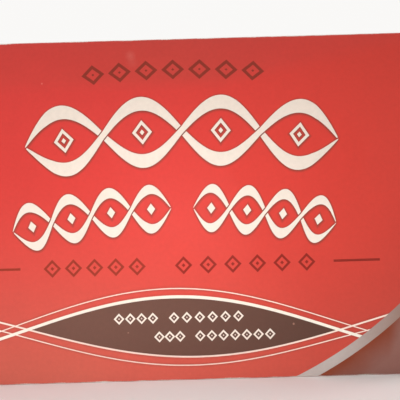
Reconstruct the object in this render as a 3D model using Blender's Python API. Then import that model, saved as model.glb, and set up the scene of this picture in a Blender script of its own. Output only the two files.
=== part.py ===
"""A shut paperboard carton for frozen seafood, standing on its bottom panel.

The board wraps round the carton as front, top, back and bottom panels, and is glued along
the foot of the back. Each end is shut by flaps: an outer one that folds back from the front
panel, over an inner one from the back panel and two short ones from the top and bottom.
The pack is shut, so it is one solid, with the steps that the board's thickness makes.

Metres, +Z up. The origin is the middle of the bottom panel, and the front faces -Y.
"""

import math

import bmesh
import bpy

# The shut carton, measured from fold to fold
CARTON_WIDTH = 0.320
CARTON_DEPTH = 0.090
CARTON_HEIGHT = 0.220

# The board
BOARD_THICKNESS = 0.0006
FOLD_RADIUS = 0.0014
FOLD_STEPS = 3

# How far the panels swell outwards in their middles, over what is packed inside
FACE_BOW = 0.0016
TOP_BOW = 0.0007
END_BOW = 0.0005
PANEL_CUTS = 7

# The outer flap on each end
FLAP_SIDE_GAP = 0.0010  # from the carton's top or bottom fold, at the flap's own fold
FLAP_TAPER = 0.0015  # how much further in its sides run by its free edge
FLAP_EDGE_GAP = 0.0030  # from its free edge to the carton's back fold
FLAP_CORNER_RADIUS = 0.0050
FLAP_CORNER_STEPS = 5

# The glued seam: the back panel's cut edge stops this far above the bottom fold
SEAM_GAP = 0.0022

CUTTER_REACH = 0.010  # how far a cutting shape stands clear of the carton

PRINTED_RED = (0.62, 0.045, 0.038, 1.0)
PRINT_ROUGHNESS = 0.42


def clear_scene():
    for obj in list(bpy.data.objects):
        bpy.data.objects.remove(obj, do_unlink=True)


def printed_board():
    """The coated board's material: red ink under a satin varnish."""
    material = bpy.data.materials.new("printed_board")
    material.use_nodes = True
    shader = material.node_tree.nodes["Principled BSDF"]
    shader.inputs["Base Color"].default_value = PRINTED_RED
    shader.inputs["Roughness"].default_value = PRINT_ROUGHNESS
    shader.inputs["Metallic"].default_value = 0.0
    return material


def swell(place, size):
    """1 in the middle of a panel and 0 at its folds, where place is measured from the middle."""
    return 1.0 - (2.0 * place / size) ** 2


def bow_panels(bm):
    """Moves the inner points of each panel outwards. The folds and the bottom panel stay put."""
    for vert in bm.verts:
        x, y, z = vert.co
        across = swell(x, CARTON_WIDTH)
        inwards = swell(y, CARTON_DEPTH)
        upwards = swell(z - CARTON_HEIGHT / 2, CARTON_HEIGHT)
        if math.isclose(abs(y), CARTON_DEPTH / 2, abs_tol=1e-6):
            vert.co.y += math.copysign(FACE_BOW * across * upwards, y)
        if math.isclose(abs(x), CARTON_WIDTH / 2, abs_tol=1e-6):
            vert.co.x += math.copysign(END_BOW * inwards * upwards, x)
        if math.isclose(z, CARTON_HEIGHT, abs_tol=1e-6):
            vert.co.z += TOP_BOW * across * inwards


def new_object(name, bm):
    mesh = bpy.data.meshes.new(name)
    bmesh.ops.recalc_face_normals(bm, faces=bm.faces)
    bm.to_mesh(mesh)
    bm.free()
    obj = bpy.data.objects.new(name, mesh)
    bpy.context.scene.collection.objects.link(obj)
    return obj


def carton_block():
    """The carton with its flaps still flush: a bowed block with rounded folds."""
    bm = bmesh.new()
    bmesh.ops.create_cube(bm, size=1.0)
    bmesh.ops.scale(bm, vec=(CARTON_WIDTH, CARTON_DEPTH, CARTON_HEIGHT), verts=bm.verts)
    bmesh.ops.translate(bm, vec=(0.0, 0.0, CARTON_HEIGHT / 2), verts=bm.verts)
    bmesh.ops.subdivide_edges(bm, edges=bm.edges[:], cuts=PANEL_CUTS, use_grid_fill=True)
    bow_panels(bm)
    block = new_object("carton", bm)
    fold = block.modifiers.new("folds", "BEVEL")
    fold.limit_method = "ANGLE"
    fold.angle_limit = math.radians(45.0)
    fold.width = FOLD_RADIUS
    fold.segments = FOLD_STEPS
    return block


def corner_arc(centre_y, centre_z, start, end):
    """Points (y, z) on a flap's rounded corner, from one angle to the other, in degrees."""
    points = []
    for step in range(FLAP_CORNER_STEPS + 1):
        angle = math.radians(start + (end - start) * step / FLAP_CORNER_STEPS)
        y = centre_y + FLAP_CORNER_RADIUS * math.cos(angle)
        z = centre_z + FLAP_CORNER_RADIUS * math.sin(angle)
        points.append((y, z))
    return points


def flap_surround():
    """The outline (y, z), open to the front, of what an outer flap leaves uncovered on an end."""
    low, high = -CUTTER_REACH, CARTON_HEIGHT + CUTTER_REACH
    back = CARTON_DEPTH / 2 + CUTTER_REACH
    flap_fold = -CARTON_DEPTH / 2 + 2 * FOLD_RADIUS
    free_edge = CARTON_DEPTH / 2 - FLAP_EDGE_GAP
    side = FLAP_SIDE_GAP + FLAP_TAPER
    centre_y = free_edge - FLAP_CORNER_RADIUS
    lower_centre = side + FLAP_CORNER_RADIUS
    upper_centre = CARTON_HEIGHT - side - FLAP_CORNER_RADIUS
    outline = [(flap_fold, low), (back, low), (back, high), (flap_fold, high)]
    outline.append((flap_fold, CARTON_HEIGHT - FLAP_SIDE_GAP))
    outline += corner_arc(centre_y, upper_centre, 90.0, 0.0)
    outline += corner_arc(centre_y, lower_centre, 0.0, -90.0)
    outline.append((flap_fold, FLAP_SIDE_GAP))
    return outline


def end_rebate(side):
    """Cuts one end back by a board's thickness, all round its outer flap. side is -1 or +1."""
    bm = bmesh.new()
    floor = side * (CARTON_WIDTH / 2 - BOARD_THICKNESS)
    outline = [bm.verts.new((floor, y, z)) for y, z in flap_surround()]
    face = bm.faces.new(outline)
    grown = bmesh.ops.extrude_face_region(bm, geom=[face])
    moved = [item for item in grown["geom"] if isinstance(item, bmesh.types.BMVert)]
    bmesh.ops.translate(bm, vec=(side * CUTTER_REACH, 0.0, 0.0), verts=moved)
    return new_object("end_rebate", bm)


def seam_rebate():
    """Cuts the foot of the back panel back to the glued strip behind it."""
    bm = bmesh.new()
    bmesh.ops.create_cube(bm, size=1.0)
    length = CARTON_WIDTH + 2 * CUTTER_REACH
    height = SEAM_GAP + CUTTER_REACH
    bmesh.ops.scale(bm, vec=(length, CUTTER_REACH, height), verts=bm.verts)
    y = CARTON_DEPTH / 2 - BOARD_THICKNESS + CUTTER_REACH / 2
    z = SEAM_GAP - height / 2
    bmesh.ops.translate(bm, vec=(0.0, y, z), verts=bm.verts)
    return new_object("seam_rebate", bm)


def cut(block, cutter):
    """Takes the cutter's shape out of the block, and leaves the cutter as a hidden helper."""
    cutter.hide_render = True
    cutter.display_type = "WIRE"
    boolean = block.modifiers.new(cutter.name, "BOOLEAN")
    boolean.operation = "DIFFERENCE"
    boolean.solver = "EXACT"
    boolean.object = cutter


def build_carton():
    carton = carton_block()
    carton.data.materials.append(printed_board())
    for cutter in (end_rebate(-1), end_rebate(+1), seam_rebate()):
        cut(carton, cutter)
    carton.data.shade_smooth()
    carton.data.set_sharp_from_angle(angle=math.radians(35.0))
    return carton


clear_scene()
build_carton()
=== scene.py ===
# %% [markdown]
# # A shut paperboard carton for frozen seafood
#
# A retail carton is one sheet of coated board. A factory prints it flat, cuts its outline, presses
# creases into it, rolls it round what it holds and glues its flaps down. This lesson makes it the same
# way round: cut, crease, print map, fold, swell, give the board its thickness, and only then ink it.
# A box with a picture on it would be quicker, but it would have no flaps, no raw edges and no folds
# for the ink to crack along, and those are what make a carton look like a carton.

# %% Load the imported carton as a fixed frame
import math

import bpy
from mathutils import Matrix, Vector


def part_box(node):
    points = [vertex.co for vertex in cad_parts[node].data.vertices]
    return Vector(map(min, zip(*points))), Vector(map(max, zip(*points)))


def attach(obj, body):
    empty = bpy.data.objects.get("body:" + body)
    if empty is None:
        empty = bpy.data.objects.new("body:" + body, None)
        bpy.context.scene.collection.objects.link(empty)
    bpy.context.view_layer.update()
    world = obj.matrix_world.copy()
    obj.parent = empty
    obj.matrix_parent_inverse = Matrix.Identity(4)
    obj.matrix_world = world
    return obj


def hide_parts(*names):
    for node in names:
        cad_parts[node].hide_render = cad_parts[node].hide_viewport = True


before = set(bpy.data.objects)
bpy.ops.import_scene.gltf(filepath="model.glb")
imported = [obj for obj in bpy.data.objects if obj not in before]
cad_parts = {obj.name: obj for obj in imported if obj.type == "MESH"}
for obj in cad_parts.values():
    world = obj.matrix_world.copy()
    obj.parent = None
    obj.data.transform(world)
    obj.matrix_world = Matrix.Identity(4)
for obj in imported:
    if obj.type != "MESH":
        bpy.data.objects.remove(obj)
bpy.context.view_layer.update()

# %% [markdown]
# ## The carton's own sizes
#
# The frame says how large the shut carton is. Its panels swell a little in their middles, so what the
# frame gives is the fold-to-fold size plus that swelling on both sides. Taking the swelling off leaves
# the sizes that a carton maker would cut by. Everything is in metres.

# %% Sizes from the frame
FACE_BOW = 0.0016  # how far the front and back swell
TOP_BOW = 0.0007
END_BOW = 0.0005

low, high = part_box("carton")
WIDTH = high.x - low.x - 2 * END_BOW
DEPTH = high.y - low.y - 2 * FACE_BOW
HEIGHT = high.z - low.z - TOP_BOW
FRONT = -DEPTH / 2

BOARD = 0.0006  # the board's thickness
LAP = 0.00065  # one board over another, with air between
FOLD_RADIUS = 0.0014
print(f"carton {WIDTH * 1000:.0f} x {DEPTH * 1000:.0f} x {HEIGHT * 1000:.0f} mm, fold to fold")

# %% [markdown]
# ## The flat blank
#
# Unrolled, the carton is a column of five strips: a glue flap, the bottom, the front, the top and the
# back. The front, the back, the top and the bottom each have a flap at either end. The blank is laid
# out standing up, with its front panel already where the finished one will be, so that the front never
# moves and the rest folds away behind it. Flat places are then simply x, and height above the foot of
# the front panel, which is also where a printer would measure the artwork from.
#
# A crease isn't a line but a narrow band, rolled into a quarter round. It is split here into equal
# steps, whose chords set the band's width.

# %% Where the strips and creases lie on the flat blank
FOLD_STEPS = 4
CHORD = 2 * FOLD_RADIUS * math.sin(math.radians(90 / FOLD_STEPS) / 2)
CREASE = FOLD_STEPS * CHORD

SEAM_GAP = 0.0022  # the back panel's cut edge stops this far above the bottom
GLUE_FLAP = 0.018
GLUE_FLAP_INSET = 0.004

FRONT_LOW, FRONT_HIGH = FOLD_RADIUS, HEIGHT - FOLD_RADIUS
TOP_LOW = FRONT_HIGH + CREASE
TOP_HIGH = TOP_LOW + DEPTH - 2 * FOLD_RADIUS
BACK_LOW = TOP_HIGH + CREASE
BACK_HIGH = BACK_LOW + HEIGHT - FOLD_RADIUS - SEAM_GAP
BOTTOM_HIGH = FRONT_LOW - CREASE
BOTTOM_LOW = BOTTOM_HIGH - (DEPTH - 2 * FOLD_RADIUS - LAP)
GLUE_HIGH = BOTTOM_LOW - CREASE
GLUE_LOW = GLUE_HIGH - GLUE_FLAP

OUTER_FLAP = DEPTH - FOLD_RADIUS - 0.0030  # it stops a little short of the back
INNER_FLAP = DEPTH - FOLD_RADIUS - 0.0050
DUST_FLAP = 0.045

# Each strip: its flat part's low and high edges, how far its end creases sit in from the carton's
# ends, and how long its end flaps are.
STRIPS = {
    "front": (FRONT_LOW, FRONT_HIGH, 0.0, OUTER_FLAP),
    "back": (BACK_LOW, BACK_HIGH, LAP, INNER_FLAP),
    "top": (TOP_LOW, TOP_HIGH, 2 * LAP, DUST_FLAP),
    "bottom": (BOTTOM_LOW, BOTTOM_HIGH, 2 * LAP, DUST_FLAP),
}
LONG_CREASES = [GLUE_HIGH, BOTTOM_HIGH, FRONT_HIGH, TOP_HIGH]  # each band's low line


def end_crease(strip):
    """Where a strip's end crease starts, measured from the blank's centre line."""
    return WIDTH / 2 - STRIPS[strip][2] - FOLD_RADIUS


print(f"flat blank {(BACK_HIGH - GLUE_LOW) * 1000:.0f} mm tall")

# %% [markdown]
# ### Cutting it
#
# The sheet starts as one plane. Bisecting it at each crease line, each flap's end and at even steps
# between gives a mesh that can bend exactly where the board does. What is not board, such as the
# notches between flaps, is then picked by its place and deleted, as a die would punch it out.

# %% Helpers for picking by place
PANEL_STEP = 0.008


def object_mode(mode):
    bpy.ops.object.mode_set(mode=mode)


def pick_only(obj):
    """Makes one object selected and active, with nothing else selected."""
    bpy.ops.object.select_all(action="DESELECT")
    obj.select_set(True)
    bpy.context.view_layer.objects.active = obj


def pick_points(obj, test):
    """In object mode, selects the points whose index passes a test."""
    mesh = obj.data
    for group in (mesh.polygons, mesh.edges):
        group.foreach_set("select", [False] * len(group))
    mesh.vertices.foreach_set("select", [bool(test(i)) for i in range(len(mesh.vertices))])


def steps_between(start, end):
    """Even steps of about PANEL_STEP from start to end, both left out."""
    count = max(1, round((end - start) / PANEL_STEP))
    return [start + (end - start) * i / count for i in range(1, count)]


# %% Where to cut: lines across the blank, then lines up it
def crease_lines(start, way=1):
    return [start + way * CHORD * step for step in range(FOLD_STEPS + 1)]


rows = [GLUE_LOW + GLUE_FLAP / 2]
for start in LONG_CREASES:
    rows += crease_lines(start)
for strip_low, strip_high, _, _ in STRIPS.values():
    rows += steps_between(strip_low, strip_high)

half_columns = steps_between(0.0, end_crease("top")) + [WIDTH / 2 - GLUE_FLAP_INSET]
for strip, (_, _, _, flap) in STRIPS.items():
    if strip != "bottom":  # its ends match the top's
        half_columns += crease_lines(end_crease(strip))
        half_columns.append(end_crease(strip) + CREASE + flap)
flap_start = end_crease("front") + CREASE
half_columns += steps_between(flap_start, end_crease("top") + CREASE + STRIPS["top"][3])
half_columns += steps_between(end_crease("top") + CREASE + STRIPS["top"][3], flap_start + STRIPS["back"][3])
columns = [0.0] + half_columns + [-u for u in half_columns]
print(f"{len(columns)} lines up the blank and {len(rows)} across it")

# %% One plane, cut along every line
BLANK_HALF_WIDTH = flap_start + STRIPS["front"][3]

bpy.ops.object.select_all(action="DESELECT")
bpy.ops.mesh.primitive_plane_add(
    size=1.0,
    location=(0.0, FRONT, (GLUE_LOW + BACK_HIGH) / 2),
    rotation=(math.radians(90), 0.0, 0.0),
)
blank = bpy.context.object
blank.name = "blank"
blank.scale = (2 * BLANK_HALF_WIDTH, BACK_HIGH - GLUE_LOW, 1.0)
bpy.ops.object.transform_apply(location=True, rotation=True, scale=True)
object_mode("EDIT")
for place, normal in [((u, 0, 0), (1, 0, 0)) for u in columns] + [((0, 0, v), (0, 0, 1)) for v in rows]:
    bpy.ops.mesh.select_all(action="SELECT")
    bpy.ops.mesh.bisect(plane_co=place, plane_no=normal)
object_mode("OBJECT")
print(f"cut into {len(blank.data.polygons)} faces, facing {blank.data.polygons[0].normal[:]}")


# %% Punch out what isn't board
def is_board(u, v):
    """Whether a flat place is on the board, and not in a notch or beyond a flap."""
    u = abs(u)
    if v < GLUE_HIGH:
        return u < WIDTH / 2 - GLUE_FLAP_INSET
    for strip, (strip_low, strip_high, _, flap) in STRIPS.items():
        if strip_low < v < strip_high:
            return u < end_crease(strip) + CREASE + flap
    return u < end_crease("top") + CREASE / 2


pick_only(blank)
object_mode("EDIT")
bpy.ops.mesh.select_mode(type="FACE")
object_mode("OBJECT")
for face in blank.data.polygons:
    face.select = not is_board(face.center.x, face.center.z)
object_mode("EDIT")
bpy.ops.mesh.delete(type="FACE")
bpy.ops.mesh.select_mode(type="VERT")
object_mode("OBJECT")
print(f"{len(blank.data.polygons)} faces of board are left")

# %% [markdown]
# ### Tapered flaps with rounded corners
#
# A flap narrows towards its free edge, so that it clears its neighbours as it swings shut, and its
# corners are rounded so that they don't catch. The taper moves each point by how far along the flap it
# is. A vertex bevel rounds the corners.

# %% Taper the flaps, then round their corners
FLAP_TAPER = 0.0015
FLAP_CORNER = 0.0050
CORNER_STEPS = 5
TINY = 1e-6  # lengths this close count as the same
FREE_EDGE = 0.999  # a share of a flap's length, past which a point is on its free edge


def strip_of(v):
    """The strip that a flat place's height is on, creases aside."""
    for strip, (strip_low, strip_high, _, _) in STRIPS.items():
        if strip_low - TINY <= v <= strip_high + TINY:
            return strip
    return None


def along_flap(u, v):
    """0 at a flap's crease and 1 at its free edge; 0 on the panels too."""
    strip = strip_of(v)
    if strip is None:
        return 0.0
    return max(0.0, (abs(u) - end_crease(strip) - CREASE) / STRIPS[strip][3])


corners = set()
for point in blank.data.vertices:
    u, v = point.co.x, point.co.z
    along = along_flap(u, v)
    if along > 0.0:
        strip_low, strip_high = STRIPS[strip_of(v)][:2]
        on_side = min(v - strip_low, strip_high - v) < 10 * TINY
        if on_side:
            point.co.z += math.copysign(FLAP_TAPER * along, (strip_low + strip_high) / 2 - v)
        if on_side and along > FREE_EDGE:
            corners.add(point.index)

pick_points(blank, lambda i: i in corners)
object_mode("EDIT")
bpy.ops.mesh.bevel(offset=FLAP_CORNER, segments=CORNER_STEPS, affect="VERTICES")
object_mode("OBJECT")
print(f"rounded {len(corners)} flap corners")

# %% [markdown]
# ### The print map
#
# Board is printed while it is flat, so this is the moment to lay down the map that the inks will
# follow. Each corner of each face keeps its flat place, in metres. Whatever the sheet is folded into
# afterwards, a line that runs off the front then carries on round the crease, as it does on a press.

# %% Keep each corner's flat place as a UV map
print_map = blank.data.uv_layers.new(name="print") if not blank.data.uv_layers else blank.data.uv_layers[0]
print_map.name = "print"
for loop in blank.data.loops:
    flat = blank.data.vertices[loop.vertex_index].co
    print_map.data[loop.index].uv = (flat.x, flat.z)
flat_places = [(point.co.x, point.co.z) for point in blank.data.vertices]
print(f"mapped {len(blank.data.loops)} face corners")

# %% [markdown]
# ## Folding
#
# Each crease is rolled a step at a time: all that lies beyond one of its lines turns about that line.
# The outermost line goes first, so each line is still in the flat sheet when its turn comes, and its
# place is known without measuring. The first and last lines take half a step each, which makes the
# chords lie inside a true quarter round. Flaps are folded before the strips that carry them.


# %% Roll one crease
def roll(lines, axis, beyond):
    """Turns what is beyond each line by its step. lines run from the innermost out, as signed places."""
    whole = math.radians(90 / FOLD_STEPS)
    for step in reversed(range(FOLD_STEPS + 1)):
        line = lines[step]
        outwards = 1.0 if lines[-1] > lines[0] else -1.0
        turn = outwards * (whole / 2 if step in (0, FOLD_STEPS) else whole)
        pick_points(blank, lambda i: beyond(*flat_places[i], line))
        object_mode("EDIT")
        if axis == "Z":
            pivot = (line, FRONT, 0.0)
            turn = -turn
        else:
            pivot = (0.0, FRONT, line)
        bpy.ops.transform.rotate(
            value=turn, orient_axis=axis, orient_type="GLOBAL", center_override=pivot
        )
        object_mode("OBJECT")


# %% Fold the eight end flaps
def past(place, line):
    """Whether a place is past a line, counted away from the middle of the blank."""
    return place * math.copysign(1.0, line) > abs(line) + TINY


for strip in STRIPS:
    for side in (-1, 1):
        lines = crease_lines(side * end_crease(strip), side)
        roll(lines, "Z", lambda u, v, line: strip_of(v) == strip and past(u, line))
print("end flaps folded")

# %% Roll the back, then the top; the glue flap, then the bottom
for start in (TOP_HIGH, FRONT_HIGH):
    roll(crease_lines(start), "X", lambda u, v, line: v > line + TINY)
for start in (GLUE_HIGH, BOTTOM_HIGH):
    roll(crease_lines(start + CREASE, -1), "X", lambda u, v, line: v < line - TINY)
for axis in range(3):
    reach = [point.co[axis] * 1000 for point in blank.data.vertices]
    print(f"folded, it reaches from {min(reach):.2f} to {max(reach):.2f} mm along {'XYZ'[axis]}")

# %% [markdown]
# ## Swelling
#
# Frozen food packed in by weight pushes the panels out a little, most in their middles and not at all
# at the folds, where the board is stiff. A product of two parabolas has just that shape. Board is
# never quite flat either, so two slow ripples, each about a tenth of a millimetre, ride on the large
# panels: they are what makes a reflection on board wander. Operators can't follow a formula, so this
# is done point by point, as a sculptor's brush would.

# %% Swell the panels
RIPPLE = 0.00012
RIPPLE_LENGTHS = (0.137, 0.081)
RIPPLE_SLANTS = (0.6, 0.4)  # how far each one runs aslant


def swell(place, size):
    """1 in a panel's middle and 0 at its folds, for a place measured from its middle."""
    return max(0.0, 1.0 - (2.0 * place / size) ** 2)


def ripple(u, v):
    """How far two slanting ripples push out a flat place."""
    first, second = (2 * math.pi / length for length in RIPPLE_LENGTHS)
    first_slant, second_slant = RIPPLE_SLANTS
    first_wave = math.sin(first * (u + first_slant * v))
    second_wave = math.sin(second * (v - second_slant * u))
    return RIPPLE * (first_wave + second_wave)


for point, (u, v) in zip(blank.data.vertices, flat_places):
    x, y, z = point.co
    across = swell(x, WIDTH)
    inwards = swell(y, DEPTH)
    upwards = swell(z - HEIGHT / 2, HEIGHT)
    if along_flap(u, v) > 0.0:
        point.co.x += math.copysign(END_BOW * inwards * upwards, x)
    elif strip_of(v) in ("front", "back"):
        outwards = (FACE_BOW - 2 * RIPPLE + ripple(u, v)) * across * upwards
        point.co.y += math.copysign(outwards, y)
    elif strip_of(v) == "top":
        point.co.z += TOP_BOW * across * inwards
print(f"swollen to {max(point.co.y for point in blank.data.vertices) * 2000:.1f} mm deep")

# %% [markdown]
# ## Panels with real thickness
#
# The folded sheet is cut apart along the middles of its creases into one piece for each panel and
# flap. Each can then have its own inks. A Solidify modifier gives every piece the board's thickness,
# inwards, so that the printed face stays where it was folded. Its options put plain board on the
# inside and on the cut edges, which is what shows wherever a flap ends.

# %% Which piece a flat place belongs to
HALF_CREASE = CREASE / 2


def piece_of(u, v):
    """The name of the piece at a flat place, with the creases shared out down their middles."""
    if v < GLUE_HIGH + HALF_CREASE:
        return "glue_flap"
    if v < BOTTOM_HIGH + HALF_CREASE:
        strip = "bottom"
    elif v < FRONT_HIGH + HALF_CREASE:
        strip = "front"
    elif v < TOP_HIGH + HALF_CREASE:
        strip = "top"
    else:
        strip = "back"
    if abs(u) < end_crease(strip) + HALF_CREASE:
        return f"{strip}_panel"
    side = "left" if u < 0 else "right"
    kind = {"front": "outer_flap", "back": "inner_flap"}.get(strip, f"{strip}_dust_flap")
    return f"{kind}_{side}"


def middle_of(face, places):
    """A face's middle on the print map."""
    corners = [places[i].uv for i in face.loop_indices]
    return [sum(corner[k] for corner in corners) / len(corners) for k in range(2)]


# %% Cut the folded sheet into its pieces
def cut_out(name):
    """Separates the faces of one piece from the blank."""
    pick_only(blank)
    places = blank.data.uv_layers["print"].data
    chosen = [piece_of(*middle_of(face, places)) == name for face in blank.data.polygons]
    object_mode("EDIT")
    bpy.ops.mesh.select_mode(type="FACE")
    bpy.ops.mesh.select_all(action="DESELECT")
    object_mode("OBJECT")
    blank.data.polygons.foreach_set("select", chosen)
    object_mode("EDIT")
    bpy.ops.mesh.separate(type="SELECTED")
    object_mode("OBJECT")
    piece = next(obj for obj in bpy.context.selected_objects if obj != blank)
    piece.name = piece.data.name = name
    return piece


places = blank.data.uv_layers["print"].data
names = sorted({piece_of(*middle_of(face, places)) for face in blank.data.polygons})
pieces = {name: cut_out(name) for name in names[:-1]}
blank.name = blank.data.name = names[-1]
pieces[names[-1]] = blank
print(f"{len(pieces)} pieces: {', '.join(names)}")

# %% Give each piece its thickness
PRINTED, INSIDE, CUT_EDGE = range(3)  # each piece's material slots
SHARP = math.radians(35)

for piece in pieces.values():
    pick_only(piece)
    for _ in range(3):
        bpy.ops.object.material_slot_add()
    thick = piece.modifiers.new("board", "SOLIDIFY")
    thick.thickness = BOARD
    thick.offset = -1.0
    thick.use_even_offset = True
    thick.material_offset = INSIDE
    thick.material_offset_rim = CUT_EDGE
    bpy.ops.object.modifier_apply(modifier=thick.name)
    bpy.ops.object.shade_smooth_by_angle(angle=SHARP)
    print(f"{piece.name}: {len(piece.data.polygons)} faces")

# %% [markdown]
# ## Drawing with formulas
#
# Packaging artwork is drawn from lines, arcs and fields of flat ink, and each of those is a formula on
# a flat place: how far is this spot from that line? Shader nodes can work such formulas out, which
# keeps the print sharp at any distance and needs no picture file. Wiring Math nodes by hand hides the
# formula, though, so a small class does the wiring. Adding or multiplying two terms adds the node.


# %% A term: a value inside a node tree
def wire(tree, value, socket):
    """Links a term to an input, or sets the input to a plain value."""
    if isinstance(value, Term):
        tree.links.new(value.socket, socket)
    else:
        socket.default_value = value


def maths(tree, operation, *values, clamp=False):
    node = tree.nodes.new("ShaderNodeMath")
    node.operation = operation
    node.use_clamp = clamp
    for value, socket in zip(values, node.inputs):
        wire(tree, value, socket)
    return Term(tree, node.outputs[0])


class Term:
    """A node's output. Arithmetic on it adds Math nodes, so that a formula reads as a formula."""

    def __init__(self, tree, socket):
        self.tree, self.socket = tree, socket

    def maths(self, operation, *others, clamp=False):
        return maths(self.tree, operation, self, *others, clamp=clamp)

    def __add__(self, other):
        return self.maths("ADD", other)

    def __sub__(self, other):
        return self.maths("SUBTRACT", other)

    def __rsub__(self, other):
        return maths(self.tree, "SUBTRACT", other, self)

    def __mul__(self, other):
        return self.maths("MULTIPLY", other)

    def __truediv__(self, other):
        return self.maths("DIVIDE", other)

    def __neg__(self):
        return self * -1.0

    def __abs__(self):
        return self.maths("ABSOLUTE")

    __radd__, __rmul__ = __add__, __mul__


# %% Small words for formulas
PRINT_EDGE = 0.00012  # how softly ink ends on the board


def least(first, *others):
    for other in others:
        first = first.maths("MINIMUM", other)
    return first


def most(first, *others):
    for other in others:
        first = first.maths("MAXIMUM", other)
    return first


def limited(value):
    """The value, kept between 0 and 1."""
    return value.maths("ADD", 0.0, clamp=True)


def inside(distance, softness=PRINT_EDGE):
    """1 where a distance is below 0, and 0 above, with a soft step between."""
    return distance.maths("MULTIPLY_ADD", -1.0 / softness, 0.5, clamp=True)


def ramp(value, start, length):
    """Rises from 0 at the start to 1 over the length. A negative length makes it fall to 0 there."""
    return limited((value - start) / length)


HALO_REACH = 0.0005
HALO_SOFTNESS = 0.0022


def halo_of(distance):
    """A soft fringe that reaches a little past a shape."""
    return inside(distance - HALO_REACH, HALO_SOFTNESS)


def across_and_up(place):
    """The two flat measures of a place."""
    node = place.tree.nodes.new("ShaderNodeSeparateXYZ")
    wire(place.tree, place, node.inputs[0])
    return Term(place.tree, node.outputs["X"]), Term(place.tree, node.outputs["Y"])


def noise(place, grain, detail=2.0):
    """Soft random values from 0 to 1, whose blotches are about a grain wide, in metres."""
    node = place.tree.nodes.new("ShaderNodeTexNoise")
    node.inputs["Scale"].default_value = 1.0 / grain
    node.inputs["Detail"].default_value = detail
    wire(place.tree, place, node.inputs["Vector"])
    return Term(place.tree, node.outputs[0])


MIX_UNDER, MIX_OVER, MIXED = 6, 7, 2  # a Mix node's sockets when it mixes colours


def over(under, ink, mask):
    """One ink printed over what is there, where the mask is 1."""
    tree = mask.tree
    node = tree.nodes.new("ShaderNodeMix")
    node.data_type = "RGBA"
    wire(tree, mask, node.inputs["Factor"])
    wire(tree, under, node.inputs[MIX_UNDER])
    wire(tree, ink, node.inputs[MIX_OVER])
    return Term(tree, node.outputs[MIXED])


# %% [markdown]
# ### Effects as node groups
#
# A shape that the artwork uses more than once becomes a node group, with its sizes as named inputs.
# The group is built once and placed wherever it is wanted, with its own numbers each time, just as a
# draughtsman keeps a template. Two helpers start such a group and place it.


# %% Start an effect, and place one
SOCKETS = {"place": "NodeSocketVector", "ink": "NodeSocketColor", "colour": "NodeSocketColor"}


def new_effect(name, inputs, outputs):
    """Starts a node group. Returns its tree, its inputs as terms, and its output node's inputs."""
    tree = bpy.data.node_groups.new(name, "ShaderNodeTree")
    for word in inputs:
        tree.interface.new_socket(word, in_out="INPUT", socket_type=SOCKETS.get(word, "NodeSocketFloat"))
    for word in outputs:
        tree.interface.new_socket(word, in_out="OUTPUT", socket_type=SOCKETS.get(word, "NodeSocketFloat"))
    source = tree.nodes.new("NodeGroupInput")
    sink = tree.nodes.new("NodeGroupOutput")
    return tree, [Term(tree, source.outputs[word]) for word in inputs], sink.inputs


def use(effect, tree, **values):
    """Places an effect in a tree with its own values. Returns its outputs as terms, in order."""
    node = tree.nodes.new("ShaderNodeGroup")
    node.node_tree = effect
    for word, value in values.items():
        wire(tree, value, node.inputs[word])
    results = [Term(tree, socket) for socket in node.outputs]
    return results if len(results) > 1 else results[0]


# %% [markdown]
# ### Sea lines
#
# Thin cream lines cross low down on the pack like slow swell on water. Each is a cosine on a slight
# slope. The group tells how far above the line a spot is, so the same group also bounds the brown
# field between two of the lines. It gives a halo too: inks that meet leave a faint dark fringe.

# %% The sea line effect
sea_line, (place, height, rise, crest, length, slope, thickness), out = new_effect(
    "sea line",
    ["place", "height", "rise", "crest", "length", "slope", "thickness"],
    ["line", "above", "halo"],
)
x, z = across_and_up(place)
past_crest = x - crest
swing = (past_crest * (2 * math.pi) / length).maths("COSINE")
above = z - (height + rise * swing + slope * past_crest)
from_line = abs(above) - thickness * 0.5
wire(sea_line, inside(from_line), out["line"])
wire(sea_line, inside(-above), out["above"])
wire(sea_line, halo_of(from_line), out["halo"])

# %% [markdown]
# ### Ornament rows
#
# The rows of ornament follow an arch, so they first need to know how far along the arch and how far
# off it a spot is. Those two measures make any row drawn on them bend to the arch. A shift moves a row
# along its arch, so that two rows can share one.
#
# A braid is two strands that swing against each other, broad on the outside of each swing and narrow
# at the crossings, as a pen makes them. Where they cross, one goes over the other, by turns, and a thin
# gap beside the upper strand shows which. The strands thin out to points at the row's ends.
#
# A lozenge row repeats one small diamond, an outline round a core. A stroke wider than the diamond
# fills it in. Both rows give a halo as well, for the soft shadow that is printed under cream ornament.

# %% The arch, braid and lozenge effects
arch, (place, centre, height, radius, shift), out = new_effect(
    "arch", ["place", "centre", "height", "radius", "shift"], ["along", "off"]
)
x, z = across_and_up(place)
from_left = x - centre
from_hub = z - height + radius
wire(arch, from_left.maths("ARCTAN2", from_hub) * radius - shift, out["along"])
hub_distance = (from_left * from_left + from_hub * from_hub).maths("SQRT")
wire(arch, hub_distance - radius, out["off"])

BRAID_GAP = 0.0007
BRAID_POINT = 0.016  # how far from its ends a strand starts to thin
NARROW_PEN, PEN_SWELL = 0.30, 0.20  # half a strand's breadth at a crossing, and what a swing adds

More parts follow.
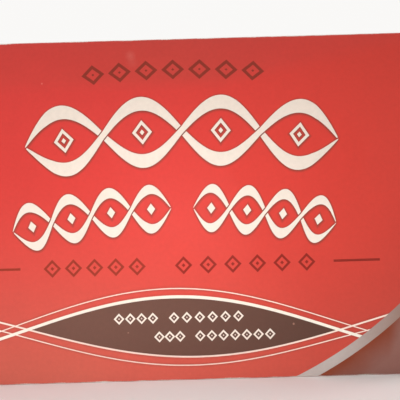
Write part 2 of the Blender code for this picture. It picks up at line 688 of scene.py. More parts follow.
ROW = ["place", "centre", "height", "radius", "shift", "reach", "count"]
braid, (place, centre, height, radius, shift, reach, count, swing, stroke), out = new_effect(
    "braid", ROW + ["swing", "stroke"], ["mask", "halo"]
)
along, off = use(arch, braid, place=place, centre=centre, height=height, radius=radius, shift=shift)
turning = count * (math.pi / 2) / reach
turn = (along + reach) * turning
wave, slope = turn.maths("SINE"), turn.maths("COSINE")
strand = wave * swing
steepness = slope * swing * turning
lean = (1.0 + steepness * steepness).maths("SQRT")
to_end = reach - abs(along)
pen = NARROW_PEN + PEN_SWELL * abs(wave)
half_stroke = stroke * pen * limited(to_end / BRAID_POINT).maths("SQRT")
first = (abs(off - strand) - half_stroke) / lean
second = (abs(off + strand) - half_stroke) / lean
first_over = slope.maths("GREATER_THAN", 0.0)
first_gap = inside(first - BRAID_GAP) * first_over
second_gap = inside(second - BRAID_GAP) * (1.0 - first_over)
strands = most(inside(first) * (1.0 - second_gap), inside(second) * (1.0 - first_gap))
wire(braid, strands * inside(-to_end), out["mask"])
wire(braid, halo_of(least(first, second)) * inside(-to_end, HALO_SOFTNESS), out["halo"])

CORE_INSET = 2.1  # how many strokes in from the outline a lozenge's core starts

lozenges, (place, centre, height, radius, shift, reach, count, half_width, half_height, stroke), out = (
    new_effect("lozenges", ROW + ["half_width", "half_height", "stroke"], ["mask", "halo"])
)
along, off = use(arch, lozenges, place=place, centre=centre, height=height, radius=radius, shift=shift)
pitch = reach * 2.0 / count
from_start = along + reach
in_cell = from_start - pitch * ((from_start / pitch).maths("FLOOR") + 0.5)
side_length = (half_width * half_width + half_height * half_height).maths("SQRT")
share_past = abs(in_cell) / half_width + abs(off) / half_height - 1.0
past_side = share_past * half_width * half_height / side_length
outline = most(past_side, -(past_side + stroke))
core = past_side + stroke * CORE_INSET
nearest = least(outline, core)
in_row = inside(abs(along) - reach)
wire(lozenges, inside(nearest) * in_row, out["mask"])
wire(lozenges, halo_of(nearest) * in_row, out["halo"])

# %% [markdown]
# ### Bars, bands and specks
#
# A bar is a plain rectangle of ink, used for rules and fields. A band is a ring, of which only a
# sweep crosses the pack; what lies beyond it is a field of its own. A speck is a dot with an uneven
# edge, for the dirt and missed ink that any shop-worn pack has. A large and very soft one makes a
# soft pale patch.

# %% The bar, band and speck effects
bar, (place, centre, height, half_length, half_height, rounding), out = new_effect(
    "bar", ["place", "centre", "height", "half_length", "half_height", "rounding"], ["mask"]
)
x, z = across_and_up(place)
side = abs(x - centre) - half_length + rounding
end = abs(z - height) - half_height + rounding
beyond_side, beyond_end = most(side, 0.0), most(end, 0.0)
corner = (beyond_side * beyond_side + beyond_end * beyond_end).maths("SQRT")
wire(bar, inside(corner + least(most(side, end), 0.0) - rounding), out["mask"])

band, (place, centre, height, radius, thickness), out = new_effect(
    "band", ["place", "centre", "height", "radius", "thickness"], ["band", "beyond", "past"]
)
x, z = across_and_up(place)
x, z = x - centre, z - height
from_middle = (x * x + z * z).maths("SQRT") - radius
wire(band, inside(abs(from_middle) - thickness * 0.5), out["band"])
wire(band, inside(-from_middle), out["beyond"])
wire(band, from_middle - thickness * 0.5, out["past"])

SPECK_GRAIN = 0.0008

speck, (place, centre, height, size, softness), out = new_effect(
    "speck", ["place", "centre", "height", "size", "softness"], ["mask"]
)
x, z = across_and_up(place)
uneven = (noise(place, SPECK_GRAIN) - 0.5) * size
x, z = x - centre, z - height
from_rim = (x * x + z * z).maths("SQRT") + uneven - size
wire(speck, limited(0.5 - from_rim / softness), out["mask"])
print(f"{len(bpy.data.node_groups)} effects so far")

# %% [markdown]
# ### The board under the ink
#
# Coated board has a faint tooth: fibres a few tenths of a millimetre wide lift the coating, and the
# ink lies a little thicker in some places than others. Varnish levels most of it to a satin. Where the
# board is bent hard or rubbed, along its creases and most of all at its corners, ink and coating crack
# off and the white fibre shows, rougher than the varnish beside it.
#
# One group works out where a rectangular piece is worn from the distance to its sides. Another turns
# an ink and that wear into the colour, the roughness and the height of the surface.

# %% The wear effect
FOLD_WEAR, PATCH_WEAR, CORNER_WEAR = 0.00012, 0.00055, 0.0013  # how far in from a fold each reaches
CORNER_REACH = 0.007  # how far along a fold a worn corner reaches
PATCH_GRAIN, CRUMB_GRAIN = 0.021, 0.0007
CRUMB_SPREAD, CRUMB_START = 2.4, 0.4
BARE_EDGE = 0.00025  # how softly bare fibre ends

wear, (place, left, right, foot, head, amount), out = new_effect(
    "wear", ["place", "left", "right", "foot", "head", "amount"], ["mask"]
)
x, z = across_and_up(place)
from_sides = least(x - left, right - x)
from_ends = least(z - foot, head - z)
nearer, farther = least(from_sides, from_ends), most(from_sides, from_ends)
in_corner = ramp(farther, start=CORNER_REACH, length=-CORNER_REACH)
patches = ramp(noise(place, PATCH_GRAIN), start=0.425, length=0.25)
crumbs = noise(place, CRUMB_GRAIN, detail=3.0) * CRUMB_SPREAD - CRUMB_START
depth = (FOLD_WEAR + PATCH_WEAR * patches + CORNER_WEAR * in_corner) * amount
wire(wear, inside(nearer - depth * crumbs, BARE_EDGE), out["mask"])

# %% The printed board effect
BARE_BOARD = (0.74, 0.70, 0.64, 1.0)

# Four noises, from the finest to the slowest: their grains, and how much each changes the ink's tone
TOOTH_GRAIN, TOOTH_TONE = 0.00042, 0.13
MOTTLE_GRAIN, MOTTLE_TONE = 0.0026, 0.12
CLOUD_GRAIN, CLOUD_TONE = 0.011, 0.07
DRIFT_GRAIN, DRIFT_TONE = 0.055, 0.06

SATIN = 0.37  # the varnish's roughness, to which these add
CLOUD_ROUGHNESS, TOOTH_ROUGHNESS, WORN_ROUGHNESS = 0.10, 0.06, 0.30
WORN_DEPTH = 0.8  # how far worn places sink, where the tooth and the mottle rise by up to 1 together

printed, (place, ink, worn), out = new_effect(
    "printed board", ["place", "ink", "worn"], ["colour", "roughness", "relief"]
)
tooth = noise(place, TOOTH_GRAIN, detail=3.0)
mottle = noise(place, MOTTLE_GRAIN)
clouds = noise(place, CLOUD_GRAIN)
drift = noise(place, DRIFT_GRAIN)
tone = 1.0 + (tooth - 0.5) * TOOTH_TONE + (mottle - 0.5) * MOTTLE_TONE
tone = tone + (clouds - 0.5) * CLOUD_TONE + (drift - 0.5) * DRIFT_TONE
toned = printed.nodes.new("ShaderNodeVectorMath")
toned.operation = "SCALE"
wire(printed, ink, toned.inputs[0])
wire(printed, tone, toned.inputs["Scale"])
wire(printed, over(Term(printed, toned.outputs[0]), BARE_BOARD, worn), out["colour"])
roughness = SATIN + CLOUD_ROUGHNESS * clouds + TOOTH_ROUGHNESS * tooth + WORN_ROUGHNESS * worn
wire(printed, roughness, out["roughness"])
wire(printed, tooth * 0.5 + mottle * 0.5 - worn * WORN_DEPTH, out["relief"])

# %% [markdown]
# ## The inks
#
# The pack is printed in red and cream, with deep reds for small ornament and rules, a grey brown for
# the field between the sea lines, a dull silver for the band, and warm browns for the picture past it.
# Most inks have a second value that they turn to across a panel. The red drifts warmer to the right,
# has painted shade along its top and a painted sheen towards its foot; the silver and the brown field
# have painted shade towards the right; the creams have painted light low down towards the sides. The
# values are what the dry ink reflects, as Blender counts light, which is why they look low beside the
# colours on a screen.

# %% The inks
RED = (0.582, 0.038, 0.0305, 1.0)
WARM_RED = (0.582, 0.039, 0.0245, 1.0)  # towards the right
PAINTED_SHEEN_RED = (0.580, 0.340, 0.215, 1.0)  # painted sheen: paler and pinker towards the foot
PAINTED_SHADE_RED = (0.510, 0.0425, 0.031, 1.0)  # painted shade: darker along the top
DEEP_RED = (0.233, 0.0235, 0.0115, 1.0)
LOW_DEEP_RED = (0.246, 0.0130, 0.0050, 1.0)  # for the level row and its rules
# a paler deep red, which the level row turns to towards the left
LEFT_DEEP_RED = (0.282, 0.0265, 0.0105, 1.0)

CREAM = (0.720, 0.620, 0.535, 1.0)
# the paler creams are painted light, low down towards the sides; PALE_CREAM is also a plain ink for the
# lozenges on the brown field
PALE_CREAM = (0.813, 0.720, 0.626, 1.0)
SEA_CREAM = (0.805, 0.695, 0.600, 1.0)
SEA_CREAM_PAINTED_LIGHT = (0.980, 0.918, 0.790, 1.0)
THIN_CREAM = (0.805, 0.600, 0.515, 1.0)  # thin lines let in some of the red beside them
THIN_CREAM_PAINTED_LIGHT = (0.980, 0.790, 0.680, 1.0)

SHADOW_BROWN = (0.165, 0.038, 0.024, 1.0)
FIELD_BROWN = (0.147, 0.0655, 0.0465, 1.0)
FIELD_UMBER = (0.098, 0.042, 0.028, 1.0)
SILVER = (0.535, 0.468, 0.436, 1.0)
# painted shade on the silver band, towards the right
SHADED_SILVER = (0.320, 0.198, 0.160, 1.0)

PICTURE_RUST = (0.248, 0.041, 0.011, 1.0)
PICTURE_BROWN = (0.290, 0.123, 0.097, 1.0)
PICTURE_PALE = (0.460, 0.264, 0.209, 1.0)
SHELL_RED = (0.520, 0.100, 0.030, 1.0)
SHELL_PALE = (0.760, 0.480, 0.300, 1.0)
SPECK_PALE = (0.740, 0.300, 0.240, 1.0)
SPECK_TAN = (0.400, 0.210, 0.150, 1.0)

# %% [markdown]
# ## The artwork
#
# The sea lines, the brown field, the silver band and the picture beyond it are laid out once for the
# whole blank, because they run off the front panel and on round its end creases. Each face of the
# carton then adds its own ornament over them.
#
# The picture is only a soft field of warm browns with a few jointed shells across it. Each shell is a
# capsule that narrows or widens from one joint to the next: the distance to a line between two
# points, less a width that changes on the way.

# %% The shell effect
SHELL_EDGE = 0.0006  # how softly a shell's outline ends

shell, (place, x1, z1, x2, z2, w1, w2), out = new_effect(
    "shell", ["place", "x1", "z1", "x2", "z2", "w1", "w2"], ["mask", "across"]
)
x, z = across_and_up(place)
run, lift = x2 - x1, z2 - z1
squared = run * run + lift * lift
from_x, from_z = x - x1, z - z1
share = limited((from_x * run + from_z * lift) / squared)
gap_x, gap_z = from_x - run * share, from_z - lift * share
off = (gap_x * gap_x + gap_z * gap_z).maths("SQRT")
width = w1 + (w2 - w1) * share
side = (from_z * run - from_x * lift) / squared.maths("SQRT")
wire(shell, inside(off - width, SHELL_EDGE), out["mask"])
wire(shell, limited(side / width * 0.5 + 0.5), out["across"])

# %% The layout that runs round the pack
SEA_LINES = {
    "upper thin": dict(height=0.03766, rise=0.02178, crest=-0.0036, length=0.4024, slope=-0.0078,
                       thickness=0.00068),
    "lower inner": dict(height=0.03492, rise=-0.01972, crest=0.0108, length=0.4320, slope=-0.0048,
                        thickness=0.00112),
    "lower outer": dict(height=0.02659, rise=-0.01671, crest=0.0012, length=0.3873, slope=-0.0295,
                        thickness=0.00072),
    "upper thick": dict(height=0.03311, rise=0.02097, crest=-0.0006, length=0.3960, slope=-0.0182,
                        thickness=0.00198),
}
SEA_LINE_HALO = 0.35  # how strongly the halo prints
BAND = dict(centre=-0.0416, height=0.2478, radius=0.2760, thickness=0.0064)

# Legs of the picture, shell by shell: across, up and half the width, at either end
LEG_SHELLS = [
    ((0.1500, 0.0140, 0.0046), (0.1755, 0.0335, 0.0060)),
    ((0.1785, 0.0350, 0.0040), (0.2040, 0.0395, 0.0052)),
    ((0.2072, 0.0390, 0.0040), (0.2370, 0.0190, 0.0007)),
    ((0.1540, 0.0420, 0.0044), (0.1825, 0.0645, 0.0058)),
    ((0.1855, 0.0655, 0.0038), (0.2110, 0.0690, 0.0050)),
    ((0.2142, 0.0685, 0.0038), (0.2420, 0.0460, 0.0007)),
    ((0.1800, 0.0070, 0.0038), (0.2070, 0.0150, 0.0048)),
    ((0.2100, 0.0150, 0.0036), (0.2330, 0.0030, 0.0008)),
    ((0.1960, 0.0960, 0.0038), (0.2210, 0.1130, 0.0050)),
    ((0.2242, 0.1130, 0.0038), (0.2500, 0.0900, 0.0010)),
]
SHELL_RIM, SHELL_RIM_INK = 0.0010, 0.7  # the dark rim's breadth, and how strongly it prints
SHELL_GRAIN = 0.006
BLUSH_SLOPE, BLUSH_START = 2.6, 0.35  # how a shell turns from pale below to red above
RUST_WIDTH = 0.016  # how far past the band the rust lasts
FOLD_PALING = 0.7
PICTURE_GRAIN, GLOW_GRAIN = 0.018, 0.014


# %% The picture past the band
def picture(place, past):
    """The soft field of browns past the silver band, with jointed shells across it."""
    x, _ = across_and_up(place)
    uneven = (noise(place, PICTURE_GRAIN) - 0.5) * 0.5
    by_the_fold = ramp(x, start=0.134, length=0.010) * FOLD_PALING
    paler = limited(past / RUST_WIDTH + uneven + by_the_fold)
    glow = ramp(noise(place, GLOW_GRAIN, detail=1.0), start=0.45, length=1 / 3)
    glow = glow * ramp(past, start=0.012, length=0.030) * 0.5
    ink = over(over(PICTURE_RUST, PICTURE_BROWN, paler), PICTURE_PALE, glow)
    blush = over(SHELL_RED, SHELL_PALE, noise(place, SHELL_GRAIN) * 0.5)
    for (x1, z1, w1), (x2, z2, w2) in LEG_SHELLS:
        ends = dict(place=place, x1=x1, z1=z1, x2=x2, z2=z2)
        rim, _ = use(shell, place.tree, w1=w1 + SHELL_RIM, w2=w2 + SHELL_RIM, **ends)
        mask, across = use(shell, place.tree, w1=w1, w2=w2, **ends)
        ink = over(ink, SHADOW_BROWN, rim * SHELL_RIM_INK)
        reddened = limited(across * BLUSH_SLOPE - BLUSH_START)
        ink = over(ink, over(SHELL_PALE, blush, reddened), mask)
    return ink


# %% The red ground, with its painted shade and sheen, and the painted light on cream
SHADE_FOOT, SHADE_RISE, SIDE_SHADE = 0.186, 0.20, 0.45  # the strip of painted shade along the top
# how strongly the painted sheen pales the red on the left, on the right and at the foot
LEFT_SHEEN, RIGHT_SHEEN, FOOT_SHEEN = 0.26, 0.07, 0.06
# where the painted light on cream is centred across, and how far out it reaches
PAINTED_LIGHT_MIDDLE, PAINTED_LIGHT_REACH = -0.018, 0.123


def red_ground(place):
    """The red: warmer to the right, with painted shade along its top and a painted sheen towards its foot.
    """
    x, z = across_and_up(place)
    red = over(RED, WARM_RED, ramp(x, start=-0.020, length=0.150))
    # painted shade: the red darkens along the top
    top_shade = SIDE_SHADE + (1.0 - SIDE_SHADE) * ramp(abs(x), start=0.0832, length=-0.064)
    top_shade_foot = SHADE_FOOT + SHADE_RISE * most(x - 0.030, 0.0)
    red = over(red, PAINTED_SHADE_RED, top_shade * ramp(z, start=top_shade_foot, length=0.010))
    # painted sheen: the red turns paler and pinker towards the foot
    low = ramp(z, start=0.150, length=-0.150)
    sheen = LEFT_SHEEN * ramp(x, start=0.154, length=-0.220) + RIGHT_SHEEN * ramp(x, start=0.090, length=0.050)
    sheen = sheen + FOOT_SHEEN * low * low * ramp(x, start=-0.020, length=0.100)
    return over(red, PAINTED_SHEEN_RED, sheen * low * low)


def cream_with_painted_light(place, cream, paler):
    """A cream with painted light: it grows paler low down, towards the sides."""
    x, z = across_and_up(place)
    off_middle = (x - PAINTED_LIGHT_MIDDLE) / PAINTED_LIGHT_REACH
    return over(cream, paler, limited(off_middle * off_middle) * ramp(z, start=0.135, length=-0.030))


# %% The sea and the band
def sea(place):
    """The cream sea lines and the brown field between two of them, over the red ground."""
    drawn = {name: use(sea_line, place.tree, place=place, **line) for name, line in SEA_LINES.items()}
    below_thick = 1.0 - drawn["upper thick"][1]
    x, _ = across_and_up(place)
    # the field darkens from brown to umber towards the right: painted shade
    field = over(FIELD_BROWN, FIELD_UMBER, ramp(x, start=-0.064, length=0.160))
    ink = over(red_ground(place), field, below_thick * drawn["lower inner"][1])
    lines, _, halos = zip(*drawn.values())
    *thin_lines, thick_line = lines
    ink = over(ink, FIELD_UMBER, most(*halos) * SEA_LINE_HALO)
    ink = over(ink, cream_with_painted_light(place, THIN_CREAM, THIN_CREAM_PAINTED_LIGHT), most(*thin_lines))
    return over(ink, cream_with_painted_light(place, SEA_CREAM, SEA_CREAM_PAINTED_LIGHT), thick_line)


def sea_and_band(place):
    """The artwork that the front shares with the carton's ends."""
    silver_part, beyond, past = use(band, place.tree, place=place, **BAND)
    ink = over(sea(place), picture(place, past), beyond)
    x, _ = across_and_up(place)
    # the band darkens towards the right: painted shade
    silver_shade = ramp(x, start=0.100, length=0.045)
    return over(ink, over(SILVER, SHADED_SILVER, silver_shade), silver_part)


# %% Ornament that is used on several faces
HALO_SHIFT = (0.00010, -0.00045, 0.0)  # the halo sits a little low, as a drop shadow does


def shifted(place, shift):
    """The place, moved, so that what is drawn with it lands that much further on."""
    node = place.tree.nodes.new("ShaderNodeVectorMath")
    node.operation = "SUBTRACT"
    wire(place.tree, place, node.inputs[0])
    node.inputs[1].default_value = shift
    return Term(place.tree, node.outputs[0])


def braid_row(ink, place, eye, **row):
    """A cream braid over its own dark halo, with a small lozenge in each of its eyes.

    eye is a lozenge's half width, half height and stroke.
    """
    eyes = {word: value for word, value in row.items() if word in ROW}
    eyes.update(half_width=eye[0], half_height=eye[1], stroke=eye[2])
    halo_place = shifted(place, HALO_SHIFT)
    halos = [use(effect, place.tree, place=halo_place, **values)[1]
             for effect, values in ((braid, row), (lozenges, eyes))]
    masks = [use(effect, place.tree, place=place, **values)[0]
             for effect, values in ((braid, row), (lozenges, eyes))]
    return over(over(ink, SHADOW_BROWN, most(*halos)), cream_with_painted_light(place, CREAM, PALE_CREAM), most(*masks))


def lozenge_row(ink, place, colour, **row):
    """A row of lozenges in one ink, without their halo."""
    return over(ink, colour, use(lozenges, place.tree, place=place, **row)[0])


def bars(ink, place, colour, *shapes, rounding=0.0):
    """Plain bars of one ink. Each shape is its centre across and up, and half its length and height."""
    for centre, height, half_length, half_height in shapes:
        mask = use(bar, place.tree, place=place, centre=centre, height=height,
                   half_length=half_length, half_height=half_height, rounding=rounding)
        ink = over(ink, colour, mask)
    return ink


# %% [markdown]
# ### The front
#
# From the top: a short arched row of deep red lozenges, one large cream braid, two smaller braids side
# by side on an arch of their own, then a level row of deep red lozenges in two groups, with a rule at
# either end. Below those run the sea lines, with two rows of small cream lozenges on the brown field.

# %% The front's artwork
FLAT_ARCH = 50.0  # an arch so wide that its row is level
RULE_HALF_HEIGHT = 0.00078
SMALL_EYE = (0.0026, 0.0036, 0.0050)

# The small braids: how far along their arch, and half their length
SMALL_BRAIDS = [(-0.0535, 0.0515), (0.0583, 0.0462)]
# Groups of the level row: centre across, half the length and how many lozenges
LEVEL_GROUPS = [(-0.0535, 0.0340, 5), (0.0430, 0.0474, 6)]
# Groups on the brown field: centre across and up, half the length and how many lozenges
FIELD_GROUPS = [
    (-0.0280, 0.0407, 0.0145, 4),
    (0.0171, 0.0407, 0.0248, 6),
    (-0.0066, 0.0286, 0.0100, 3),
    (0.0354, 0.0286, 0.0262, 7),
]
# Specks of dirt, then a soft pale patch in two parts: across, up, size, softness, strength and colour
FRONT_SPECKS = [
    (-0.0842, 0.1932, 0.0005, 0.0006, 0.40, SPECK_PALE),
    (0.0962, 0.1440, 0.0005, 0.0006, 0.35, SPECK_PALE),
    (0.0731, 0.0346, 0.0006, 0.0006, 0.80, SPECK_TAN),
    (-0.0332, 0.0318, 0.0004, 0.0005, 0.60, SPECK_TAN),
    (-0.0270, 0.2097, 0.0015, 0.0050, 0.18, SPECK_PALE),
    (-0.0258, 0.2052, 0.0010, 0.0070, 0.10, SPECK_PALE),
]


def front_artwork(place):
    ink = sea_and_band(place)
    ink = lozenge_row(ink, place, DEEP_RED, centre=0.0, height=0.2000, radius=0.60, reach=0.0600,
                      count=7, half_width=0.0074, half_height=0.0064, stroke=0.0020)
    ink = braid_row(ink, place, (0.0064, 0.0078, 0.0018), centre=0.0045, height=0.1606, radius=0.62,
                    reach=0.1010, count=4, swing=0.0184, stroke=0.0088)
    for shift, reach in SMALL_BRAIDS:
        ink = braid_row(ink, place, SMALL_EYE, centre=-0.0014, height=0.1110, radius=0.44,
                        shift=shift, reach=reach, count=4, swing=0.0126, stroke=0.0066)
    x, _ = across_and_up(place)
    low_red = over(LEFT_DEEP_RED, LOW_DEEP_RED, ramp(x, start=-0.035, length=0.040))
    for centre, reach, count in LEVEL_GROUPS:
        ink = lozenge_row(ink, place, low_red, centre=centre, height=0.0742, radius=FLAT_ARCH,
                          reach=reach, count=count, half_width=0.0056, half_height=0.0058, stroke=0.0015)
    ink = bars(ink, place, low_red, (-0.1164, 0.0744, 0.0152, RULE_HALF_HEIGHT),
               (0.1147, 0.0744, 0.0149, RULE_HALF_HEIGHT))
    for centre, height, reach, count in FIELD_GROUPS:
        ink = lozenge_row(ink, place, PALE_CREAM, centre=centre, height=height, radius=FLAT_ARCH,
                          reach=reach, count=count, half_width=0.0034, half_height=0.0036, stroke=0.0010)
    for centre, height, size, softness, strength, colour in FRONT_SPECKS:
        mask = use(speck, place.tree, place=place, centre=centre, height=height,
                   size=size, softness=softness)
        ink = over(ink, colour, mask * strength)
    return ink


# %% [markdown]
# ### The other faces
#
# The top, the back and the ends repeat the front's ornament at their own scales, as a pack's other
# faces do. The back also has the cream panel where directions would be printed, ruled but left bare,
# and the bottom has an unprinted box where a line would stamp its dates.
#
# The back is printed upside down on the blank, since it is folded over the top. Measuring its places
# from its own foot and the other way across turns its artwork the right way up.


# %% Places on the back, as seen from behind
def from_behind(place):
    x, v = across_and_up(place)
    node = place.tree.nodes.new("ShaderNodeCombineXYZ")
    wire(place.tree, -x, node.inputs["X"])
    wire(place.tree, (BACK_HIGH + SEAM_GAP) - v, node.inputs["Y"])
    return Term(place.tree, node.outputs[0])


# %% The other faces' artwork
def small_title(ink, place, centre, height):
    """A lozenge row over a short braid, as the ends carry it."""
    ink = lozenge_row(ink, place, DEEP_RED, centre=centre, height=height + 0.021, radius=0.16,
                      reach=0.0160, count=3, half_width=0.0044, half_height=0.0038, stroke=0.0012)
    return braid_row(ink, place, SMALL_EYE, centre=centre, height=height, radius=0.16,
                     reach=0.0270, count=3, swing=0.0078, stroke=0.0036)


def left_end_artwork(place):
    return small_title(sea_and_band(place), place, -0.2040, 0.1500)


def right_end_artwork(place):
    return small_title(sea_and_band(place), place, 0.1950, 0.1660)


def edge_lines(middle):
    """A long thin bar along either side of a narrow panel."""
    return [(0.0, middle + way * 0.0340, 0.1480, 0.0006) for way in (-1, 1)]


def top_artwork(place):
    middle = (TOP_LOW + TOP_HIGH) / 2
    ink = braid_row(RED, place, SMALL_EYE, centre=0.0, height=middle, radius=FLAT_ARCH,
                    reach=0.0900, count=7, swing=0.0105, stroke=0.0050)
    ink = bars(ink, place, DEEP_RED, (-0.1150, middle, 0.0150, RULE_HALF_HEIGHT),
               (0.1150, middle, 0.0150, RULE_HALF_HEIGHT))
    return bars(ink, place, CREAM, *edge_lines(middle))


# The back's two cream panels and what is ruled on them. LIST and FACTS are their centres across.
LIST, FACTS, PANELS_HEIGHT = -0.0500, 0.0880, 0.1120
RULES_FOOT, RULE_PITCH = 0.0800, 0.0080
LIST_RULE, FACTS_RULE = 0.0720, 0.0380  # half their lengths
HAIRLINE, THICK_RULE = 0.0002, 0.0007


def back_artwork(place):
    """Seen from behind: a long braid, the two ruled panels, and the sea with a lozenge row."""
    place = from_behind(place)
    ink = braid_row(sea(place), place, SMALL_EYE, centre=0.0, height=0.1860, radius=0.60,
                    reach=0.1040, count=8, swing=0.0100, stroke=0.0048)
    ink = bars(ink, place, CREAM, (LIST, PANELS_HEIGHT, 0.0800, 0.0400),
               (FACTS, PANELS_HEIGHT, 0.0440, 0.0400), rounding=0.0030)
    heights = [RULES_FOOT + RULE_PITCH * i for i in range(9)]
    rules = [(LIST, height, LIST_RULE, HAIRLINE) for height in heights]
    rules += [(FACTS, height, FACTS_RULE, HAIRLINE) for height in heights[1:-1]]
    rules += [(FACTS, height, FACTS_RULE, THICK_RULE) for height in (heights[0], heights[-1])]
    ink = bars(ink, place, FIELD_BROWN, *rules)
    return lozenge_row(ink, place, CREAM, centre=0.0020, height=0.0340, radius=FLAT_ARCH,
                       reach=0.0560, count=11, half_width=0.0036, half_height=0.0033, stroke=0.0009)


def bottom_artwork(place):
    middle = (BOTTOM_LOW + BOTTOM_HIGH) / 2
    ink = bars(RED, place, BARE_BOARD, (0.1000, middle, 0.0360, 0.0130), rounding=0.0020)
    return bars(ink, place, CREAM, *edge_lines(middle))


# %% [markdown]
# ## Materials
#
# Every printed face has its own material, since its artwork is its own, but all share the wear and
# printed board effects. The cut edges show raw fibre, and the inside is plain board. Only the relief
# goes through a Bump node. It is tiny: a few hundredths of a millimetre is enough for the satin to
# break up.

# %% A material from a piece's artwork
RELIEF_DEPTH = 0.00003
VARNISH_GLOSS = 0.38
WEAR_AMOUNT = 1.0


def print_place(tree):
    node = tree.nodes.new("ShaderNodeUVMap")
    node.uv_map = "print"
    return Term(tree, node.outputs[0])


def board_material(name, artwork, sides):
    """Printed board. sides are the piece's left, right, foot and head on the print map."""
    material = bpy.data.materials.new(name)
    material.use_nodes = True
    tree = material.node_tree
    shader = tree.nodes["Principled BSDF"]
    shader.inputs["Specular IOR Level"].default_value = VARNISH_GLOSS
    place = print_place(tree)
    left, right, foot, head = sides
    worn = use(wear, tree, place=place, left=left, right=right, foot=foot, head=head, amount=WEAR_AMOUNT)
    colour, roughness, relief = use(printed, tree, place=place, ink=artwork(place), worn=worn)
    wire(tree, colour, shader.inputs["Base Color"])
    wire(tree, roughness, shader.inputs["Roughness"])
    bump = tree.nodes.new("ShaderNodeBump")
    bump.inputs["Strength"].default_value = 1.0
    bump.inputs["Distance"].default_value = RELIEF_DEPTH
    wire(tree, relief, bump.inputs["Height"])
    tree.links.new(bump.outputs[0], shader.inputs["Normal"])
    return material


# %% Where each piece ends on the print map
def panel_sides(strip):
    strip_low, strip_high = STRIPS[strip][:2]
    side = end_crease(strip) + HALF_CREASE
    foot = strip_low if strip == "bottom" else strip_low - HALF_CREASE
    head = strip_high if strip == "back" else strip_high + HALF_CREASE
    return -side, side, foot, head


def flap_sides(strip, side):
    strip_low, strip_high, _, flap = STRIPS[strip]
    inner = end_crease(strip) + HALF_CREASE
    outer = end_crease(strip) + CREASE + flap
    left, right = sorted((side * inner, side * outer))
    return left, right, strip_low, strip_high


# %% Make the materials and dress the pieces
def plain(ink):
    """Artwork that is one ink all over."""
    return lambda place: ink


RAW_FIBRE = (0.66, 0.60, 0.52, 1.0)
NO_WEAR = (-2 * WIDTH, 2 * WIDTH, -2 * HEIGHT, 4 * HEIGHT)  # sides so far off that they leave none

materials = {
    "front_panel": board_material("front_print", front_artwork, panel_sides("front")),
    "back_panel": board_material("back_print", back_artwork, panel_sides("back")),
    "top_panel": board_material("top_print", top_artwork, panel_sides("top")),
    "bottom_panel": board_material("bottom_print", bottom_artwork, panel_sides("bottom")),
    "outer_flap_left": board_material("left_end_print", left_end_artwork, flap_sides("front", -1)),
    "outer_flap_right": board_material("right_end_print", right_end_artwork, flap_sides("front", 1)),
    "glue_flap": board_material("bare_glue_flap", plain(BARE_BOARD), NO_WEAR),
}
red_flaps = {side: board_material(f"red_flap_{word}", plain(RED), flap_sides("back", side))
             for side, word in ((-1, "left"), (1, "right"))}
bare = board_material("bare_board", plain(BARE_BOARD), NO_WEAR)
cut_edge = board_material("cut_edge", plain(RAW_FIBRE), NO_WEAR)

for name, piece in pieces.items():
    side = -1 if name.endswith("left") else 1
    slots = piece.material_slots
    slots[PRINTED].material = materials.get(name, red_flaps[side])
    slots[INSIDE].material = bare
    slots[CUT_EDGE].material = cut_edge
    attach(piece, "root")
    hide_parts("carton")
print(f"{len(pieces)} pieces dressed in {len(bpy.data.materials)} materials")

# %% [markdown]
# ## The studio
#
# The carton stands on a plain pale floor under an even, soft sky that is brighter overhead than at the
# horizon. A small soft lamp close in front of the panel makes a pool of light that fades towards its
# corners. A lamp at the front left lifts that side, and a narrower one at the front right lifts the
# panel's upper right. Two large ones behind light the other faces. Grids on the lamps keep their
# light off the floor: spread is how wide each one shines, in degrees. All but the last are left out of
# reflections, which would grey the ink.
#
# The camera sees a backdrop where the sky would be, shaded as a paper cove is: a little darker where it
# turns up from the floor, and lighter above.

# %% Floor
FLOOR_SIZE = 40.0
FLOOR_COLOUR = (0.88, 0.875, 0.865, 1.0)
FLOOR_ROUGHNESS = 0.9

bpy.ops.object.select_all(action="DESELECT")
bpy.ops.mesh.primitive_plane_add(size=FLOOR_SIZE, location=(0.0, 0.0, 0.0))
floor = bpy.context.object
floor.name = "floor"
paper = bpy.data.materials.new("floor_paper")
paper.use_nodes = True
paper_shader = paper.node_tree.nodes["Principled BSDF"]
paper_shader.inputs["Base Color"].default_value = FLOOR_COLOUR
paper_shader.inputs["Roughness"].default_value = FLOOR_ROUGHNESS
floor.data.materials.append(paper)
print(f"floor {FLOOR_SIZE:.0f} m across")


# %% Lamps
def soft_box(name, place, aim, size, power, spread, in_gloss=True):
    """A round soft lamp that shines from a place towards its aim, unseen by the camera."""
    lamp = bpy.data.lights.new(name, "AREA")
    lamp.shape = "DISK"
    lamp.size = size
    lamp.energy = power
    lamp.spread = math.radians(spread)
    box = bpy.data.objects.new(name, lamp)
    box.location = place
    box.rotation_euler = (Vector(aim) - Vector(place)).to_track_quat("-Z", "Y").to_euler()
    box.visible_camera = False
    box.visible_glossy = in_gloss
    bpy.context.scene.collection.objects.link(box)


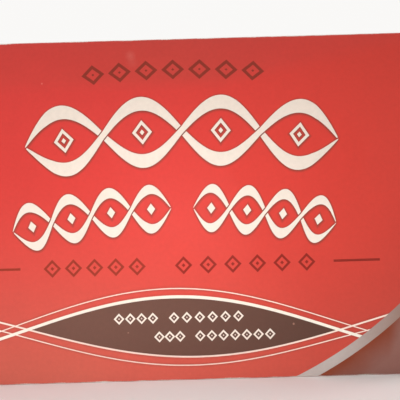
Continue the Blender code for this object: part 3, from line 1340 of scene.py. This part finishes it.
soft_box("key", place=(0.0, FRONT - 0.28, 0.100), aim=(0.0, FRONT, 0.085),
         size=0.10, power=0.0403, spread=60, in_gloss=False)
soft_box("left front", place=(-0.45, -0.40, 0.16), aim=(-0.12, FRONT, 0.11),
         size=0.20, power=0.1454, spread=50, in_gloss=False)
soft_box("right front", place=(0.45, -0.50, 0.20), aim=(0.08, FRONT, 0.14),
         size=0.20, power=0.0604, spread=35, in_gloss=False)
soft_box("behind left", place=(-1.1, 1.5, 1.2), aim=(-0.05, 0.0, 0.1),
         size=0.80, power=1.6, spread=60, in_gloss=False)
soft_box("right", place=(1.5, 0.5, 1.0), aim=(0.1, 0.0, 0.1), size=0.80, power=0.9, spread=60)
print(f"{len(bpy.data.lights)} lamps")

# %% The soft sky, and the backdrop that the camera sees in its place
SKY_COLOUR = (1.0, 0.99, 0.975, 1.0)
SKY_LOW, SKY_RISE = 0.27, 0.70
BACKDROP_LOW, BACKDROP_HIGH = 0.62, 0.95
COVE = 0.20  # how far up, as a direction's height, the backdrop takes to turn from low to high

world = bpy.data.worlds.new("studio")
world.use_nodes = True
bpy.context.scene.world = world
sky = world.node_tree
background = sky.nodes["Background"]
background.inputs["Color"].default_value = SKY_COLOUR
direction = sky.nodes.new("ShaderNodeSeparateXYZ")
sky.links.new(sky.nodes.new("ShaderNodeTexCoord").outputs["Generated"], direction.inputs[0])
up = most(Term(sky, direction.outputs["Z"]), 0.0)
light = SKY_LOW + SKY_RISE * up
backdrop = BACKDROP_LOW + (BACKDROP_HIGH - BACKDROP_LOW) * limited(up / COVE)
seen = Term(sky, sky.nodes.new("ShaderNodeLightPath").outputs["Is Camera Ray"])
wire(sky, light * (1.0 - seen) + backdrop * seen, background.inputs["Strength"])

# %% Camera
FIELD_OF_VIEW = math.radians(40)
VIEW_WIDTH = 0.256  # how much of the front panel the picture spans
CAMERA_AIM = (0.0152, 0.1157)  # across, and above the floor
ROLL = math.radians(1.6)
SENSOR = 36.0  # in millimetres, as Blender counts sensors and lenses

camera_data = bpy.data.cameras.new("camera")
camera_data.sensor_width = SENSOR
camera_data.lens = SENSOR / 2 / math.tan(FIELD_OF_VIEW / 2)
camera = bpy.data.objects.new("camera", camera_data)
distance = VIEW_WIDTH / 2 / math.tan(FIELD_OF_VIEW / 2)
camera.location = (CAMERA_AIM[0], FRONT - FACE_BOW - distance, CAMERA_AIM[1])
camera.rotation_euler = (math.radians(90), ROLL, 0.0)
bpy.context.scene.collection.objects.link(camera)
bpy.context.scene.camera = camera
bpy.context.scene.view_settings.view_transform = "Standard"
print(f"camera {distance * 1000:.0f} mm from the front panel")
